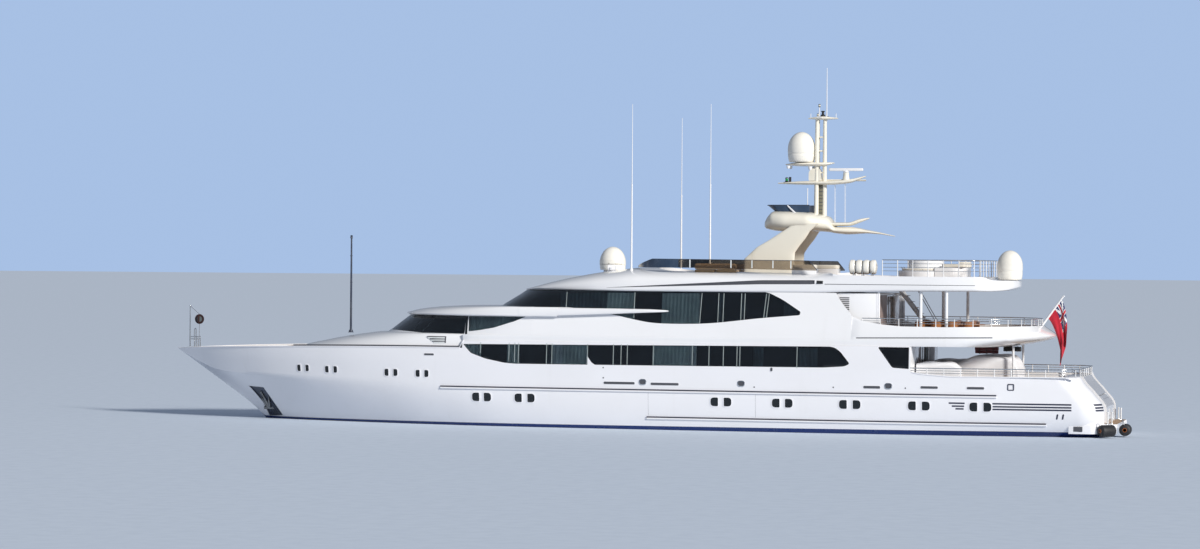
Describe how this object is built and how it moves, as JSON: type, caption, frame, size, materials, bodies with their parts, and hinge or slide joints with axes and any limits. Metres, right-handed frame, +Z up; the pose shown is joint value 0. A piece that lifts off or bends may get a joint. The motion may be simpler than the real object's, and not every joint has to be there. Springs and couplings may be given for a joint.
{
  "type": "motor yacht, 1:2 scale model",
  "caption": "Tri-deck displacement motor yacht afloat, with raised bow, raked wheelhouse, open aft decks, mast arch with domes, stern stairs and swim platform.",
  "frame": {"origin": "on the waterline, amidships on the centre line", "axes": "+X towards the bow, +Y to port, +Z up"},
  "size_m": [25.3403, 4.7224, 10.446],
  "materials": {
    "hull_paint": "high-gloss white yacht paint over steel",
    "house_paint": "gloss white paint over aluminium",
    "mast_paint": "satin cream paint",
    "dome_shell": "satin off-white composite",
    "tinted_glass": "polished dark tinted glass",
    "stainless": "polished stainless steel",
    "dark_steel": "dark semi-gloss paint",
    "bottom_paint": "matt blue bottom paint",
    "bronze": "polished propeller bronze",
    "varnished_white": "gloss white",
    "flag_cloth": "woven red bunting",
    "canvas": "matt off-white cover cloth",
    "teak": "oiled teak",
    "black_rubber": "matt black rubber"
  },
  "bodies": {
    "yacht": {"hull": "hull_paint", "bow": "hull_paint", "topside_port": "hull_paint", "topside_starboard": "hull_paint", "main_window_port": "tinted_glass", "main_window_starboard": "tinted_glass", "aft_light_port": "tinted_glass", "aft_light_starboard": "tinted_glass", "saloon_bulkhead": "house_paint", "foredeck_trunk": "house_paint", "upper_deck": "house_paint", "forward_cabin": "house_paint", "cabin_windows": "tinted_glass", "cabin_leaf_port": "tinted_glass", "cabin_leaf_starboard": "tinted_glass", "visor": "house_paint", "upper_side_port": "house_paint", "upper_side_starboard": "house_paint", "upper_windows": "tinted_glass", "lounge_bulkhead": "house_paint", "sundeck": "house_paint", "deck_stair": "house_paint", "sundeck_screen": "tinted_glass", "mast_arch": "mast_paint", "mast_column": "mast_paint", "mast_dome": "dome_shell", "fore_dome": "dome_shell", "stern_dome": "dome_shell", "foremast": "dark_steel", "jackstaff": "dark_steel", "flagstaff": "varnished_white", "flag": "flag_cloth", "life_raft": "dome_shell", "spa_tub": "dome_shell", "dining_table": "teak", "covered_sofa": "canvas", "main_rail": "stainless", "upper_rail": "stainless", "sundeck_rail": "stainless", "engine_port": "dark_steel", "engine_starboard": "dark_steel", "anchor_port": "stainless", "anchor_starboard": "stainless", "fender_port": "black_rubber", "fender_stern": "black_rubber"},
    "port_saloon_door": {"saloon_door_port": "tinted_glass"},
    "starboard_saloon_door": {"saloon_door_starboard": "tinted_glass"},
    "port_lounge_door": {"lounge_door_port": "tinted_glass"},
    "starboard_lounge_door": {"lounge_door_starboard": "tinted_glass"},
    "radar": {"radar_scanner": "dome_shell"},
    "port_propeller": {"propeller_port": "bronze"},
    "starboard_propeller": {"propeller_starboard": "bronze"},
    "port_rudder": {"rudder_port": "bottom_paint"},
    "starboard_rudder": {"rudder_starboard": "bottom_paint"},
    "port_fin": {"fin_port": "bottom_paint"},
    "starboard_fin": {"fin_starboard": "bottom_paint"},
    "stern_door": {"transom_door": "hull_paint"}
  },
  "joints": [
    {"name": "port_saloon_door_slide", "type": "slide", "parent": "yacht", "child": "port_saloon_door", "axis": [0, 1, 0], "range_m": [0, 0.56]},
    {"name": "starboard_saloon_door_slide", "type": "slide", "parent": "yacht", "child": "starboard_saloon_door", "axis": [0, -1, 0], "range_m": [0, 0.56]},
    {"name": "port_lounge_door_slide", "type": "slide", "parent": "yacht", "child": "port_lounge_door", "axis": [0, 1, 0], "range_m": [0, 0.56]},
    {"name": "starboard_lounge_door_slide", "type": "slide", "parent": "yacht", "child": "starboard_lounge_door", "axis": [0, -1, 0], "range_m": [0, 0.56]},
    {"name": "radar_turn", "type": "hinge", "parent": "yacht", "child": "radar", "pos_m": [-5.44, 0, 6.507], "axis": [0, 0, 1], "continuous": true},
    {"name": "port_propeller_turn", "type": "hinge", "parent": "yacht", "child": "port_propeller", "pos_m": [-9.15, 0.9, -0.9], "axis": [1, 0, 0], "continuous": true},
    {"name": "starboard_propeller_turn", "type": "hinge", "parent": "yacht", "child": "starboard_propeller", "pos_m": [-9.15, -0.9, -0.9], "axis": [1, 0, 0], "continuous": true},
    {"name": "port_rudder_turn", "type": "hinge", "parent": "yacht", "child": "port_rudder", "pos_m": [-9.75, 0.9, -0.5], "axis": [0, 0, 1], "range_deg": [-35, 35]},
    {"name": "starboard_rudder_turn", "type": "hinge", "parent": "yacht", "child": "starboard_rudder", "pos_m": [-9.75, -0.9, -0.5], "axis": [0, 0, 1], "range_deg": [-35, 35]},
    {"name": "port_fin_turn", "type": "hinge", "parent": "yacht", "child": "port_fin", "pos_m": [1.2, 1.56, -0.77], "axis": [0, 0.7071, -0.7071], "range_deg": [-20, 20]},
    {"name": "starboard_fin_turn", "type": "hinge", "parent": "yacht", "child": "starboard_fin", "pos_m": [1.2, -1.56, -0.77], "axis": [0, -0.7071, -0.7071], "range_deg": [-20, 20]},
    {"name": "stern_door_lift", "type": "hinge", "parent": "yacht", "child": "stern_door", "pos_m": [-11.918, 0, 1], "axis": [0, 1, 0], "range_deg": [0, 95]}
  ],
  "couplings": [
    {"joint": "starboard_rudder_turn", "follows": "port_rudder_turn", "ratio": 1}
  ]
}
